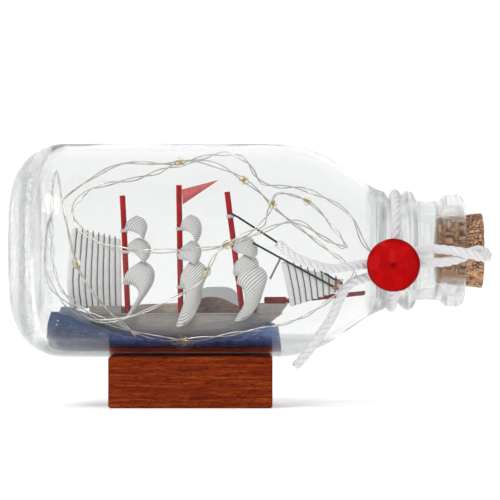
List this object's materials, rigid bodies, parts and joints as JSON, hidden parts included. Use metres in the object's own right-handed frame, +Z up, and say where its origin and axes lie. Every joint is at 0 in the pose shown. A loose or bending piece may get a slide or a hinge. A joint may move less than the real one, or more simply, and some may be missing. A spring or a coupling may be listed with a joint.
{
  "type": "ship in a bottle",
  "caption": "Corked glass bottle on a wooden stand, holding a square-rigged model ship on blue putty and a string of tiny lights, with a cotton cord and a red seal at the neck.",
  "frame": {"origin": "centre of the stand's bottom face", "axes": "+Z up, +X along the bottle from its base to its mouth, +Y away from the side that shows the seal"},
  "size_m": [0.1264, 0.0595, 0.0697],
  "materials": {
    "stand_wood": "satin",
    "clear_glue": "glossy",
    "bottle_glass": "glossy",
    "blue_putty": "satin",
    "hull_paint": "matte",
    "deck_paint": "matte",
    "cabin_paint": "matte",
    "red_paint": "matte",
    "pennant_cloth": "matte",
    "sail_cloth": "matte",
    "black_cord": "matte",
    "grey_cord": "matte",
    "white_thread": "matte",
    "light_wire": "glossy",
    "light_resin": "glossy",
    "light_chip": "glossy",
    "white_cotton": "matte",
    "red_resin": "glossy",
    "cork_grain": "matte",
    "white_plastic": "satin",
    "plated_contact": "satin",
    "steel_cell": "satin",
    "board_green": "satin",
    "dark_plastic": "satin"
  },
  "bodies": {
    "bottle_and_ship": {"wood_stand": "stand_wood", "stand_glue": "clear_glue", "glass_bottle": "bottle_glass", "sea_putty": "blue_putty", "ship_hull": "hull_paint", "deck": "deck_paint", "poop_block": "hull_paint", "forecastle": "hull_paint", "deck_cabin": "cabin_paint", "bow_rail": "red_paint", "bowsprit": "red_paint", "mizzen_mast": "red_paint", "main_mast": "red_paint", "fore_mast": "red_paint", "pennant": "pennant_cloth", "mizzen_top_sail": "sail_cloth", "mizzen_middle_sail": "sail_cloth", "mizzen_lower_sail": "sail_cloth", "main_top_sail": "sail_cloth", "main_middle_sail": "sail_cloth", "main_lower_sail": "sail_cloth", "fore_top_sail": "sail_cloth", "fore_middle_sail": "sail_cloth", "fore_lower_sail": "sail_cloth", "spanker_sail": "sail_cloth", "jib_sail": "sail_cloth", "fore_stay": "black_cord", "jib_stay": "black_cord", "jib_guy": "grey_cord", "stay_knots": "black_cord", "mizzen_ties": "white_thread", "main_ties": "white_thread", "fore_ties": "white_thread", "light_wire": "light_wire", "led_drops": "light_resin", "led_chips": "light_chip", "neck_cord": "white_cotton", "bow_knot": "white_cotton", "bow_loop": "white_cotton", "short_tail": "white_cotton", "long_tail": "white_cotton", "seal_disc": "red_resin", "seal_glue": "clear_glue"},
    "stopper": {"cork": "cork_grain", "battery_cup": "white_plastic", "inner_contact": "plated_contact", "coin_cells": "steel_cell", "contact_spring": "plated_contact", "circuit_board": "board_green", "end_cap": "dark_plastic"},
    "switch": {"switch_slider": "white_plastic"}
  },
  "joints": [
    {"name": "stopper_pull", "type": "slide", "parent": "bottle_and_ship", "child": "stopper", "axis": [1, 0, 0], "range_m": [0, 0.012]},
    {"name": "light_switch", "type": "slide", "parent": "stopper", "child": "switch", "axis": [0, 0, 1], "range_m": [0, 0.0016]}
  ]
}
